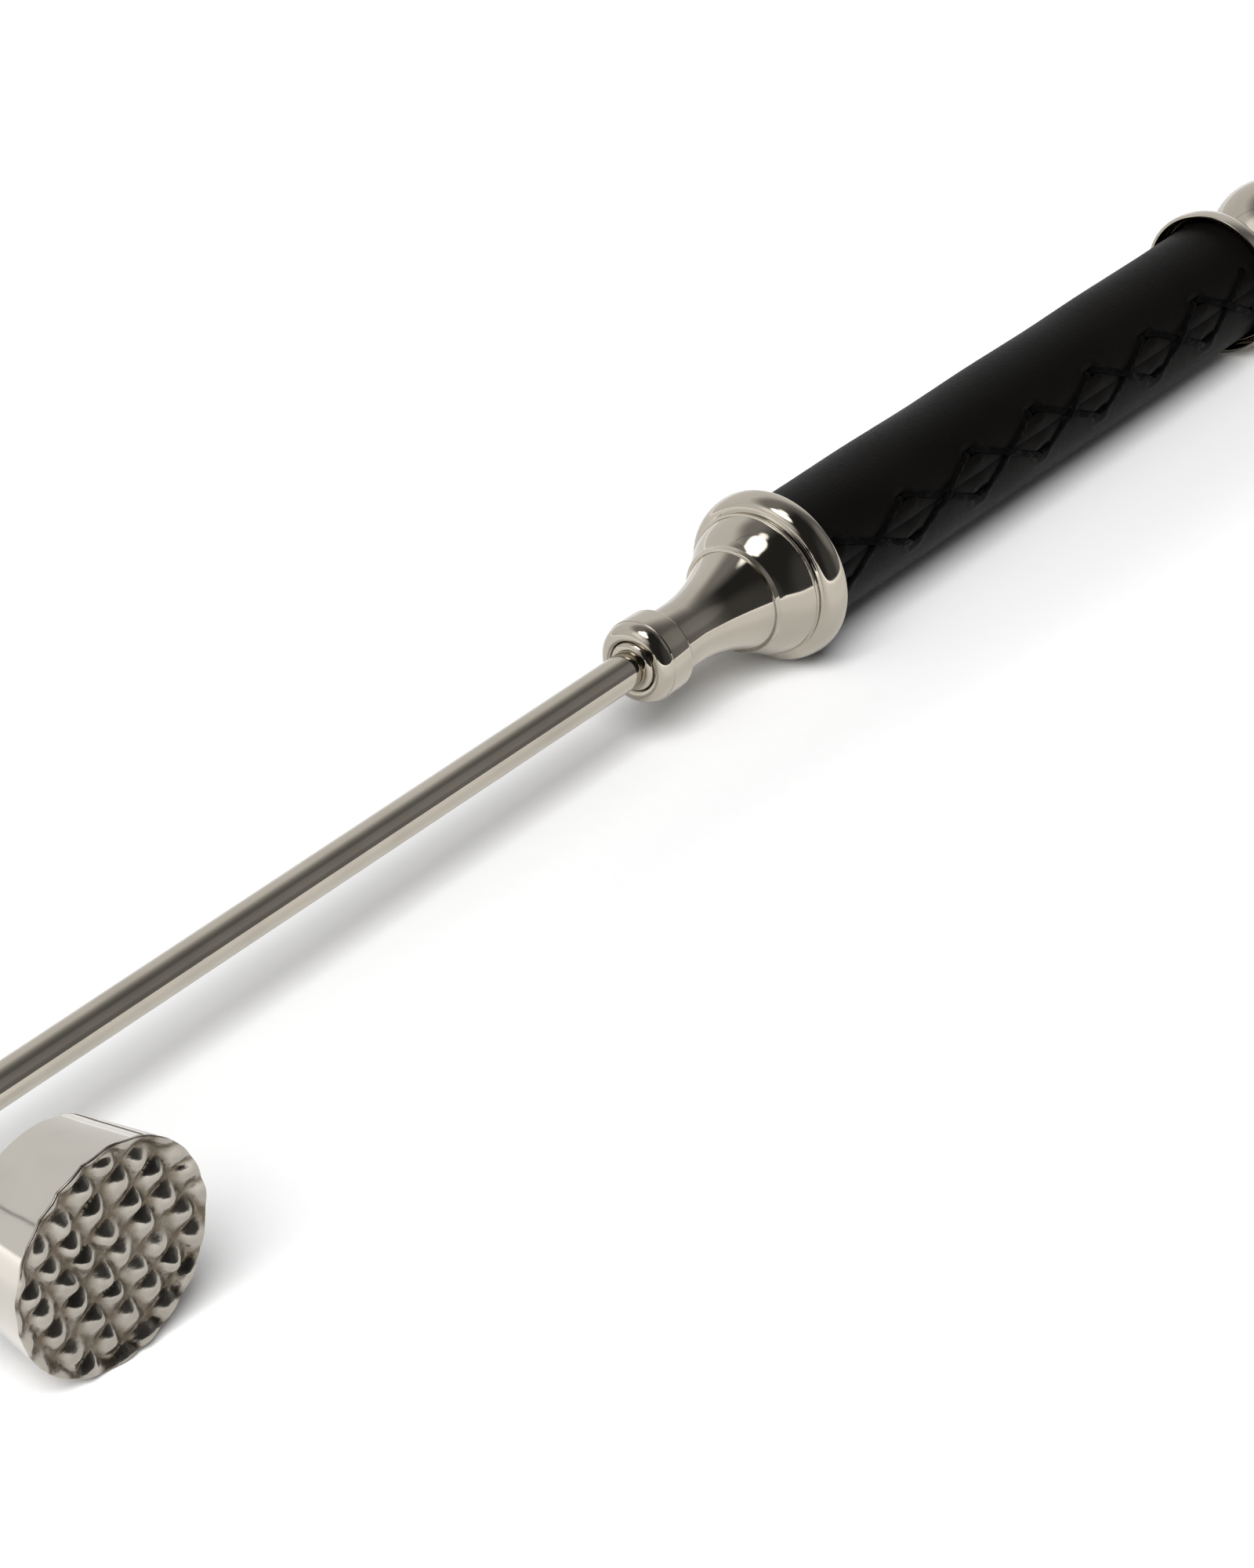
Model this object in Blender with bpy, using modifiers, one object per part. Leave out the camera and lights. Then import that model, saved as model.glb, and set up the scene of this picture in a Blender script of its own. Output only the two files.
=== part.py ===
"""Bar muddler: a bumped crushing head set square on a bent rod, with a laced leather grip.

The tool is drawn along +X, from the head to the ball, with the face of the head towards -Y.
It then lies on a table as a user would put it down, on the rims of its head, ferrule and cap.
Sizes below are millimetres.
"""
import math

import bmesh
import bpy
from mathutils import Matrix, Vector

MM = 0.001
CLEARANCE = 0.3
WELD = 0.005

# Fineness of the round shapes
ROUND_STEPS = 36
QUARTER_POINTS = 5
BEND_POINTS = 10
FLARE_POINTS = 8
BALL_STEPS = 16
ROD_SIDES = 16
LACE_SIDES = 6
BUMP_CELLS = 4
SHARP_ANGLE = 35.0

# Crushing head, measured along its own axis from the axis of the rod
HEAD_REACH = 34.0
HEAD_ANGLE = 95.5
HEAD_LENGTH = 12.6
FACE_DIAMETER = 30.0
BACK_DIAMETER = 25.4
BACK_ROUNDING = 0.9
BUMP_PITCH = 4.03
BUMP_HEIGHT = 1.2
BUMP_TURN = 30.0
BOSS_DIAMETER = 9.0
BOSS_LENGTH = 4.5
HEAD_SOCKET_DEPTH = 7.0

# Rod
ROD_DIAMETER = 5.0
BEND_RADIUS = 12.0
ROD_SPAN = 138.6
ROD_TAIL = 13.4

# Collar and bead, just behind the free span of the rod
COLLAR_DIAMETER = 11.3
COLLAR_NOSE = 1.9
COLLAR_BAND = 4.0
COLLAR_LIP = 0.6
COLLAR_RECESS_DEPTH = 1.5
COLLAR_RECESS_DIAMETER = 7.2
COLLAR_SEAT_DEPTH = 3.0
COLLAR_EDGE = 0.25
BEAD_WALL = 0.55
BEAD_PROUD = 0.3

# Bell ferrule
NECK_DIAMETER = 8.9
NECK_LENGTH = 4.2
SPIGOT_DIAMETER = 7.0
FLARE_LENGTH = 12.7
FLARE_DIAMETER = 15.3
FLARE_POWER = 2.1
LINE_HEIGHT = 0.16
LINE_WIDTH = 0.35
CUP_LENGTH = 3.5
CUP_DIAMETER = 19.5
CUP_BULGE = 0.3
STEP_LENGTH = 0.7
STEP_HEIGHT = 0.3
SOCKET_FLOOR = 15.5
SOCKET_LENGTH = 4.5
RIM_SEAT_LENGTH = 2.0
RIM_SEAT_WALL = 1.5

# Rim of the ferrule
RIM_DIAMETER = 23.5
RIM_LENGTH = 3.9
RIM_FRONT_DIAMETER = 20.8
RIM_BACK_DIAMETER = 22.0
RIM_CREST = 0.68

# Grip
GRIP_LENGTH = 107.0
GRIP_DIAMETER = 17.5
LEATHER_THICKNESS = 1.35
TENON_DIAMETER = 11.8
SEAM_GAP = 0.6
SEAM_ANGLE = 17.0
STUD_DIAMETER = 5.0

# Laces
LACE_WIDTH = 1.1
LACE_THICKNESS = 0.5
LACE_LEAD = 2.2
LACE_FIRST_STEP = 16.25
LACE_STEP_RATIO = 0.955
LACE_HALF_SPREAD = 3.0
LACE_BITE = 1.3
LACE_MARGIN = 1.8
LACE_CORNER = 0.45
LACE_RISE_LENGTH = 3.0
LACE_RUN_POINTS = 9

# End cap, ring and ball
CAP_RIM_DIAMETER = 20.8
CAP_RIM_WALL = 0.5
CAP_RIM_WIDTH = 1.0
CAP_OVERLAP = 1.3
CAP_HOLLOW = 3.2
CAP_DEPTH = 5.3
CAP_BACK_DIAMETER = 10.4
WASHER_THICKNESS = 0.9
WASHER_DIAMETER = 12.0
RING_DIAMETER = 11.2
RING_LENGTH = 2.8
BALL_DIAMETER = 18.4
BALL_SEAT_DIAMETER = 9.0
STUD_IN_BALL = 11.0

# Stations along the rod's axis, counted from the axis of the head
bore_radius = ROD_DIAMETER / 2 + CLEARANCE
stud_bore = STUD_DIAMETER / 2 + CLEARANCE
neck_bore = max(bore_radius, stud_bore)
collar_edge_x = ROD_SPAN + COLLAR_NOSE
collar_back_x = collar_edge_x + COLLAR_BAND
neck_x = collar_back_x + CLEARANCE
flare_x = neck_x + NECK_LENGTH
line_x = flare_x + FLARE_LENGTH
cup_x = line_x + LINE_WIDTH
step_x = cup_x + CUP_LENGTH
bell_shoulder_x = step_x + STEP_LENGTH
bell_end_x = bell_shoulder_x + RIM_SEAT_LENGTH
rim_x = bell_shoulder_x + CLEARANCE
rim_end_x = rim_x + RIM_LENGTH
socket_x = neck_x + SOCKET_FLOOR
core_step_x = socket_x + SOCKET_LENGTH
rod_end_x = ROD_SPAN + ROD_TAIL
stud_x = rod_end_x + CLEARANCE
leather_x = bell_end_x + CLEARANCE
leather_end_x = leather_x + GRIP_LENGTH
cap_x = leather_end_x - CAP_OVERLAP
cap_floor_x = cap_x + CAP_HOLLOW
cap_back_x = cap_x + CAP_DEPTH
washer_x = cap_floor_x - CLEARANCE - WASHER_THICKNESS
core_end_x = washer_x - CLEARANCE
ring_x = cap_back_x + CLEARANCE
ball_seat_x = ring_x + RING_LENGTH + CLEARANCE
stud_end_x = ball_seat_x + STUD_IN_BALL

# Radii and angles that follow from the neighbours
head_angle = math.radians(HEAD_ANGLE)
grip_radius = GRIP_DIAMETER / 2
leather_bore = grip_radius - LEATHER_THICKNESS
core_radius = leather_bore - CLEARANCE
rim_seat_radius = core_radius + CLEARANCE + RIM_SEAT_WALL
cup_radius = CUP_DIAMETER / 2
ball_radius = BALL_DIAMETER / 2
ball_x = ball_seat_x + math.sqrt(ball_radius ** 2 - (BALL_SEAT_DIAMETER / 2) ** 2)

# Heights of a lace's middle over the outside of the leather
lace_low = CLEARANCE + LACE_THICKNESS / 2
lace_high = lace_low + LACE_THICKNESS + CLEARANCE
lace_inside = -LEATHER_THICKNESS - CLEARANCE - LACE_THICKNESS / 2
lace_hole = LACE_WIDTH / 2 + CLEARANCE
lace_edge_angle = (LACE_HALF_SPREAD + lace_hole) / grip_radius
core_flat = (grip_radius + lace_inside - LACE_THICKNESS / 2 - CLEARANCE) * math.cos(lace_edge_angle)
lace_last_x = cap_x - LACE_MARGIN

# Stations where the laces bite: each step is a little shorter than the one before it
lace_stations = [rim_end_x + LACE_LEAD]
lace_step = LACE_FIRST_STEP
while lace_stations[-1] + lace_step <= lace_last_x:
    lace_stations.append(lace_stations[-1] + lace_step)
    lace_step *= LACE_STEP_RATIO

for old in list(bpy.data.objects):
    bpy.data.objects.remove(old, do_unlink=True)

parts = bpy.data.collections.new("muddler")
cutters = bpy.data.collections.new("muddler_cutters")
for group in (parts, cutters):
    bpy.context.scene.collection.children.link(group)

table = bpy.data.objects.new("lying_on_table", None)
parts.objects.link(table)


def finish(name, colour, roughness, metallic):
    """A plain material for one sub-part."""
    material = bpy.data.materials.new(name)
    material.use_nodes = True
    shader = material.node_tree.nodes["Principled BSDF"]
    shader.inputs["Base Color"].default_value = (*colour, 1.0)
    shader.inputs["Roughness"].default_value = roughness
    shader.inputs["Metallic"].default_value = metallic
    return material


def nickel(name):
    """Polished nickel, one material for each turned piece."""
    return finish(name + "_nickel", (0.66, 0.63, 0.58), 0.12, 1.0)


def add_object(name, mesh, material=None):
    """Link a mesh as a sub-part, or as a cutter when it has no material."""
    item = bpy.data.objects.new(name, mesh)
    if material is None:
        cutters.objects.link(item)
        item.hide_render = True
        item.display_type = "WIRE"
    else:
        parts.objects.link(item)
        mesh.materials.append(material)
    item.parent = table
    return item


ALONG_ROD = (0, math.pi / 2, 0)
ALONG_HEAD = (math.pi / 2, 0, math.pi / 2 - head_angle)


def turned(name, outer, inner, material, turn=ALONG_ROD):
    """A turned piece: (station, radius) pairs of the outside, then of the bore, front to back.

    With no bore, the outside starts and ends on the axis.
    """
    profile = [(r, x) for x, r in reversed(outer)] + [(r, x) for x, r in inner]
    mesh = bpy.data.meshes.new(name)
    points = [(r * MM, 0.0, x * MM) for r, x in profile]
    edges = [(i, i + 1) for i in range(len(points) - 1)]
    if inner:
        edges.append((len(points) - 1, 0))
    mesh.from_pydata(points, edges, [])
    item = add_object(name, mesh, material)
    screw = item.modifiers.new("turned", "SCREW")
    screw.steps = ROUND_STEPS
    screw.render_steps = ROUND_STEPS
    screw.use_merge_vertices = True
    screw.merge_threshold = WELD * MM
    item.rotation_euler = turn
    return item


def arc(centre, radius, start, end, count):
    """Points on a circle, angles in degrees from the first axis of its plane."""
    points = []
    for i in range(count + 1):
        angle = math.radians(start + (end - start) * i / count)
        points.append((centre[0] + radius * math.cos(angle), centre[1] + radius * math.sin(angle)))
    return points


def quarter(start, end, steep):
    """Quarter of an oval from one (station, radius) to another, leaving the first steeply or flat."""
    points = []
    for i in range(1, QUARTER_POINTS + 1):
        angle = math.pi / 2 * i / QUARTER_POINTS
        fast = math.sin(angle)
        slow = 1 - math.cos(angle)
        along, across = (slow, fast) if steep else (fast, slow)
        points.append((start[0] + (end[0] - start[0]) * along, start[1] + (end[1] - start[1]) * across))
    return points


def cut(item, cutter):
    """Take one cutter out of a piece."""
    boolean = item.modifiers.new("cut", "BOOLEAN")
    boolean.operation = "DIFFERENCE"
    boolean.solver = "EXACT"
    boolean.object = cutter


def tube(name, route, radius, sides):
    """Mesh of a bevelled curve through a route of points in millimetres, with welded end caps."""
    curve = bpy.data.curves.new(name, "CURVE")
    curve.dimensions = "3D"
    curve.bevel_depth = radius * MM
    curve.bevel_resolution = (sides - 4) // 2
    curve.use_fill_caps = True
    spline = curve.splines.new("POLY")
    spline.points.add(len(route) - 1)
    for point, place in zip(spline.points, route):
        point.co = (*[value * MM for value in place], 1.0)
    guide = bpy.data.objects.new(name + "_route", curve)
    cutters.objects.link(guide)
    bpy.context.view_layer.update()
    evaluated = guide.evaluated_get(bpy.context.evaluated_depsgraph_get())
    mesh = bpy.data.meshes.new_from_object(evaluated)
    bpy.data.objects.remove(guide, do_unlink=True)
    mesh.materials.clear()
    shape = bmesh.new()
    shape.from_mesh(mesh)
    bmesh.ops.remove_doubles(shape, verts=shape.verts, dist=WELD * MM)
    bmesh.ops.recalc_face_normals(shape, faces=shape.faces)
    shape.to_mesh(mesh)
    shape.free()
    return mesh


def bump(distance):
    """Height of one bump along one side of its square cell, distance from -1 to 1."""
    return 1.0 - distance * distance


def bump_cutter():
    """Slab whose lower face is the hollow form of the bumps, in the head's own frame."""
    reach = math.ceil(FACE_DIAMETER / BUMP_PITCH / 2) + 1
    cells = 2 * reach * BUMP_CELLS
    shape = bmesh.new()
    bmesh.ops.create_grid(shape, x_segments=cells, y_segments=cells, size=reach * BUMP_PITCH * MM)
    raised = bmesh.ops.extrude_face_region(shape, geom=list(shape.faces))["geom"]
    top = {v for v in raised if isinstance(v, bmesh.types.BMVert)}
    for v in shape.verts:
        if v in top:
            v.co.z = (HEAD_REACH + BUMP_HEIGHT) * MM
            continue
        height = BUMP_HEIGHT
        for place in (v.co.x / MM, v.co.y / MM):
            cell = place / BUMP_PITCH - math.floor(place / BUMP_PITCH)
            height *= bump(2 * cell - 1)
        v.co.z = (HEAD_REACH - BUMP_HEIGHT + height) * MM
    bmesh.ops.recalc_face_normals(shape, faces=shape.faces)
    shape.transform(Matrix.Rotation(math.radians(BUMP_TURN), 4, "Z"))
    mesh = bpy.data.meshes.new("bump_cutter")
    shape.to_mesh(mesh)
    shape.free()
    item = add_object("bump_cutter", mesh)
    item.rotation_euler = ALONG_HEAD
    return item


def crushing_head():
    """Tapered puck with a threaded boss behind it, its face cut to bumps."""
    back = HEAD_REACH - HEAD_LENGTH
    back_radius = BACK_DIAMETER / 2
    boss = BOSS_DIAMETER / 2
    outer = [(back - BOSS_LENGTH, bore_radius), (back - BOSS_LENGTH, boss), (back, boss)]
    outer.append((back, back_radius - BACK_ROUNDING))
    outer += quarter(outer[-1], (back + BACK_ROUNDING, back_radius), True)
    outer += [(HEAD_REACH, FACE_DIAMETER / 2), (HEAD_REACH, 0)]
    floor = back + HEAD_SOCKET_DEPTH
    bore = [(floor, 0), (floor, bore_radius)]
    head = turned("crushing_head", bore + outer, [], nickel("crushing_head"), ALONG_HEAD)
    cut(head, bump_cutter())


def rod():
    """One bar: from the socket of the head, round the bend, and into the neck of the ferrule."""
    tip = HEAD_REACH - HEAD_LENGTH + HEAD_SOCKET_DEPTH - CLEARANCE
    bend_x = BEND_RADIUS / math.tan(head_angle / 2)
    bend = arc((bend_x, -BEND_RADIUS), BEND_RADIUS, 270 - HEAD_ANGLE, 90, BEND_POINTS)
    route = [(tip * math.cos(head_angle), -tip * math.sin(head_angle), 0)]
    route += [(x, y, 0) for x, y in bend]
    route.append((rod_end_x, 0, 0))
    add_object("rod", tube("rod", route, ROD_DIAMETER / 2, ROD_SIDES), nickel("rod"))


def collar_and_bead():
    """Round-nosed band on the spigot of the ferrule, and the bead round the rod in its mouth."""
    recess = COLLAR_RECESS_DIAMETER / 2
    edge = COLLAR_DIAMETER / 2
    lip = recess + COLLAR_LIP / 2
    recess_floor = ROD_SPAN + COLLAR_RECESS_DEPTH
    seat_x = collar_back_x - COLLAR_SEAT_DEPTH
    seat = SPIGOT_DIAMETER / 2 + CLEARANCE
    outer = [(ROD_SPAN + COLLAR_LIP / 2, recess), (ROD_SPAN, lip)]
    outer += quarter(outer[-1], (collar_edge_x, edge), True)
    outer += [(collar_back_x - COLLAR_EDGE, edge), (collar_back_x, edge - COLLAR_EDGE)]
    inner = [(recess_floor, recess), (recess_floor, bore_radius), (seat_x, bore_radius)]
    inner += [(seat_x, seat), (collar_back_x, seat)]
    turned("collar", outer, inner, nickel("collar"))

    bead_x = ROD_SPAN - BEAD_PROUD
    bead_end = recess_floor - CLEARANCE
    crown = bore_radius + BEAD_WALL
    half = BEAD_WALL / 2
    outer = [(bead_x, bore_radius + half)]
    outer += quarter(outer[-1], (bead_x + half, crown), True) + [(bead_end, crown)]
    inner = [(bead_x + half, bore_radius), (bead_end, bore_radius)]
    turned("rod_bead", outer, inner, nickel("rod_bead"))


def bell_ferrule():
    """Trumpet from the neck to a rounded cup, hollow behind for the end of the core."""
    neck = NECK_DIAMETER / 2
    flare = FLARE_DIAMETER / 2
    spigot = SPIGOT_DIAMETER / 2
    spigot_x = collar_back_x - COLLAR_SEAT_DEPTH + CLEARANCE
    outer = [(spigot_x, spigot), (neck_x, spigot), (neck_x, neck)]
    for i in range(FLARE_POINTS + 1):
        share = i / FLARE_POINTS
        outer.append((flare_x + FLARE_LENGTH * share, neck + (flare - neck) * share ** FLARE_POWER))
    outer += [(line_x, flare + LINE_HEIGHT), (cup_x, flare + LINE_HEIGHT), (cup_x, flare)]
    for i in range(1, QUARTER_POINTS + 1):
        share = i / QUARTER_POINTS
        swell = CUP_BULGE * math.sin(math.pi * share)
        outer.append((cup_x + CUP_LENGTH * share, flare + (cup_radius - flare) * share + swell))
    step = cup_radius + STEP_HEIGHT
    outer += [(step_x, step), (bell_shoulder_x, step), (bell_shoulder_x, rim_seat_radius)]
    outer += [(bell_end_x, rim_seat_radius)]
    tenon = TENON_DIAMETER / 2 + CLEARANCE
    inner = [(spigot_x, neck_bore), (socket_x, neck_bore), (socket_x, tenon), (core_step_x, tenon)]
    inner += [(core_step_x, core_radius + CLEARANCE), (bell_end_x, core_radius + CLEARANCE)]
    turned("bell_ferrule", outer, inner, nickel("bell_ferrule"))


def ferrule_rim():
    """Rounded bezel, seated on the ferrule, round the front end of the leather."""
    seat = rim_seat_radius + CLEARANCE
    crest = RIM_DIAMETER / 2
    crest_x = rim_x + RIM_LENGTH * RIM_CREST
    front = RIM_FRONT_DIAMETER / 2
    back = RIM_BACK_DIAMETER / 2
    outer = [(rim_x, front)]
    outer += quarter((rim_x, front), (crest_x, crest), True)
    outer += quarter((crest_x, crest), (rim_end_x, back), False)
    inner = [(rim_x, seat), (rim_end_x, seat)]
    turned("ferrule_rim", outer, inner, nickel("ferrule_rim"))


def around_grip(x, along, height):
    """Point at a station, a distance along the leather's outside from the seam, and a height over it."""
    angle = math.radians(SEAM_ANGLE) + along / grip_radius
    radius = grip_radius + height
    return Vector((x, -radius * math.cos(angle), radius * math.sin(angle)))


def lace_stops(side):
    """Station and side of each bite that a lace takes of the leather, in turn."""
    return [(x, side * (-1) ** i) for i, x in enumerate(lace_stations)]


def lace_run(start, end, rise):
    """Run over the leather from hole to hole; the upper lace rises in the middle, over the lower one."""
    points = []
    length = math.dist(start, end)
    for i in range(1, LACE_RUN_POINTS + 1):
        share = i / (LACE_RUN_POINTS + 1)
        x = start[0] + (end[0] - start[0]) * share
        along = start[1] + (end[1] - start[1]) * share
        near = abs(share - 0.5) * length / LACE_RISE_LENGTH
        lift = math.cos(math.pi / 2 * min(1.0, near)) ** 2
        points.append((x, along, lace_low + rise * lift))
    return points


def lace_bite(x, along):
    """Down one hole, under the leather, and up the next."""
    level = lace_low - LACE_CORNER
    low = lace_inside + LACE_CORNER
    a = x - LACE_BITE
    b = x + LACE_BITE
    return [(a - LACE_CORNER, along, lace_low), (a, along, level), (a, along, low),
            (a + LACE_CORNER, along, lace_inside), (b - LACE_CORNER, along, lace_inside),
            (b, along, low), (b, along, level), (b + LACE_CORNER, along, lace_low)]


def lace(name, side, rise):
    """One flat lace as a tube on the unrolled leather, flattened and then wrapped round the grip."""
    route = []
    stops = lace_stops(side)
    for i, (x, sign) in enumerate(stops):
        along = sign * LACE_HALF_SPREAD
        bite = lace_bite(x, along)
        first = 3 if i == 0 else 0
        last = 5 if i == len(stops) - 1 else len(bite)
        if route:
            route += lace_run(route[-1], bite[0], rise)
        route += bite[first:last]
    flat = LACE_THICKNESS / LACE_WIDTH
    round_route = [(x, along, height / flat) for x, along, height in route]
    mesh = tube(name, round_route, LACE_WIDTH / 2, LACE_SIDES)
    for v in mesh.vertices:
        v.co = around_grip(v.co.x / MM, v.co.y / MM, v.co.z / MM * flat) * MM
    shape = bmesh.new()
    shape.from_mesh(mesh)
    bmesh.ops.recalc_face_normals(shape, faces=shape.faces)
    shape.to_mesh(mesh)
    shape.free()
    add_object(name, mesh, finish(name + "_thread", (0.012, 0.011, 0.010), 0.45, 0.0))


def radial_box(name, x, along, size):
    """Cutter box whose third side runs outwards from the grip's axis at a place round the seam."""
    shape = bmesh.new()
    bmesh.ops.create_cube(shape, size=1.0)
    outwards = around_grip(0, along, 0).normalized()
    sideways = outwards.cross(Vector((1, 0, 0)))
    turn = Matrix((Vector((1, 0, 0)), sideways, outwards)).transposed().to_4x4()
    scale = Matrix.Diagonal((size[0] * MM, size[1] * MM, size[2] * MM, 1.0))
    place = Matrix.Translation((Vector((x, 0, 0)) + outwards * size[2] / 2) * MM)
    shape.transform(place @ turn @ scale)
    bmesh.ops.recalc_face_normals(shape, faces=shape.faces)
    mesh = bpy.data.meshes.new(name)
    shape.to_mesh(mesh)
    shape.free()
    return add_object(name, mesh)


def leather_sleeve():
    """Leather tube, open along the seam, with the holes that the laces go through."""
    outer = [(leather_x, grip_radius), (leather_end_x, grip_radius)]
    inner = [(leather_x, leather_bore), (leather_end_x, leather_bore)]
    leather = finish("black_leather", (0.012, 0.012, 0.012), 0.42, 0.0)
    sleeve = turned("leather_sleeve", outer, inner, leather)
    middle = (leather_x + leather_end_x) / 2
    outside = 2 * grip_radius
    cut(sleeve, radial_box("seam_cutter", middle, 0, (2 * GRIP_LENGTH, SEAM_GAP, outside)))
    for side in (1, -1):
        stops = lace_stops(side)
        holes = [(x + LACE_BITE, sign) for x, sign in stops[:-1]]
        holes += [(x - LACE_BITE, sign) for x, sign in stops[1:]]
        for x, sign in holes:
            size = (2 * lace_hole, 2 * lace_hole, outside)
            cut(sleeve, radial_box("lace_hole_cutter", x, sign * LACE_HALF_SPREAD, size))


def handle_core():
    """Wooden dowel with a tenon in the ferrule and a flat under the seam."""
    tenon = TENON_DIAMETER / 2
    front = socket_x + CLEARANCE
    step = core_step_x + CLEARANCE
    outer = [(front, tenon), (step, tenon), (step, core_radius), (core_end_x, core_radius)]
    inner = [(front, stud_bore), (core_end_x, stud_bore)]
    wood = finish("beech", (0.55, 0.38, 0.22), 0.6, 0.0)
    core = turned("handle_core", outer, inner, wood)
    planed = radial_box("core_flat_cutter", (leather_x + leather_end_x) / 2, 0,
                        (GRIP_LENGTH, 4 * core_radius, core_radius))
    planed.location = around_grip(0, 0, core_flat - grip_radius) * MM
    cut(core, planed)


def tie_stud():
    """Stud that draws the ferrule, the core, the cap and the ball together."""
    radius = STUD_DIAMETER / 2
    steel = finish("steel_stud", (0.45, 0.45, 0.46), 0.35, 1.0)
    outer = [(stud_x, 0), (stud_x, radius), (stud_end_x, radius), (stud_end_x, 0)]
    turned("tie_stud", outer, [], steel)


def end_of_handle():
    """Dished cap over the end of the leather, its washer, the ring and the ball."""
    rim = CAP_RIM_DIAMETER / 2
    back = CAP_BACK_DIAMETER / 2
    half = CAP_RIM_WALL / 2
    outer = [(cap_x, rim - half), (cap_x + half, rim), (cap_x + CAP_RIM_WIDTH, rim)]
    outer += quarter(outer[-1], (cap_back_x, back), False)
    hollow = rim - CAP_RIM_WALL
    floor = leather_bore + CLEARANCE
    inner = [(cap_x, hollow), (leather_end_x + CLEARANCE, hollow - half)]
    inner += [(cap_floor_x, floor), (cap_floor_x, stud_bore), (cap_back_x, stud_bore)]
    turned("end_cap", outer, inner, nickel("end_cap"))

    washer = WASHER_DIAMETER / 2
    fibre = finish("fibre", (0.20, 0.10, 0.06), 0.7, 0.0)
    outer = [(washer_x, washer), (washer_x + WASHER_THICKNESS, washer)]
    inner = [(washer_x, stud_bore), (washer_x + WASHER_THICKNESS, stud_bore)]
    turned("cap_washer", outer, inner, fibre)

    crown = RING_DIAMETER / 2
    waist = BALL_SEAT_DIAMETER / 2
    ring_middle = ring_x + RING_LENGTH / 2
    ring_end = ring_x + RING_LENGTH
    outer = [(ring_x, waist)]
    outer += quarter((ring_x, waist), (ring_middle, crown), True)
    outer += quarter((ring_middle, crown), (ring_end, waist), False)
    inner = [(ring_x, stud_bore), (ring_end, stud_bore)]
    turned("finial_ring", outer, inner, nickel("finial_ring"))

    seat = math.degrees(math.asin(BALL_SEAT_DIAMETER / BALL_DIAMETER))
    bore_end = stud_end_x + CLEARANCE
    bore = [(bore_end, 0), (bore_end, stud_bore), (ball_seat_x, stud_bore)]
    sphere = arc((ball_x, 0), ball_radius, 180 - seat, 0, BALL_STEPS)
    sphere[-1] = (sphere[-1][0], 0.0)
    turned("finial_ball", bore + sphere, [], nickel("finial_ball"))


def set_down():
    """Lay the tool on the table and put the origin under the middle of its box."""
    head_radius = FACE_DIAMETER / 2
    head_x = HEAD_REACH * math.cos(head_angle)
    rests = [(rim_x + RIM_LENGTH * RIM_CREST, RIM_DIAMETER / 2),
             (cap_x + CAP_RIM_WIDTH, CAP_RIM_DIAMETER / 2), (ball_x, ball_radius)]
    slope = min((head_radius - radius) / (x - head_x) for x, radius in rests)
    table.rotation_euler = (0, math.atan(slope), 0)
    bpy.context.view_layer.update()
    graph = bpy.context.evaluated_depsgraph_get()
    corners = []
    for item in parts.objects:
        if item.type == "MESH":
            evaluated = item.evaluated_get(graph)
            corners += [evaluated.matrix_world @ v.co for v in evaluated.to_mesh().vertices]
            evaluated.to_mesh_clear()
    low = [min(c[i] for c in corners) for i in range(3)]
    high = [max(c[i] for c in corners) for i in range(3)]
    table.location = (-(low[0] + high[0]) / 2, -(low[1] + high[1]) / 2, -low[2])


def smooth_round_pieces():
    """Smooth shading with sharp edges kept where the profile turns."""
    for item in parts.objects:
        if item.type == "MESH":
            item.data.shade_smooth()
            item.data.set_sharp_from_angle(angle=math.radians(SHARP_ANGLE))


crushing_head()
rod()
collar_and_bead()
bell_ferrule()
ferrule_rim()
handle_core()
tie_stud()
leather_sleeve()
lace("lace_over", 1, lace_high - lace_low)
lace("lace_under", -1, 0.0)
end_of_handle()
set_down()
smooth_round_pieces()
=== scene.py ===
# %% [markdown]
# # A bar muddler with a laced leather grip
#
# The tool lies on a white table: a bumped metal head on a bent rod, a trumpet-shaped ferrule, a
# handle wrapped in black leather that two laces draw together, and a ball at the end.
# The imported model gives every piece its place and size. This lesson models each visible piece
# again with the fine shape that the construction solids leave out, and gives it its finish.

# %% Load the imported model
import math

import bmesh
import bpy
from mathutils import Matrix, Vector, noise


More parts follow.
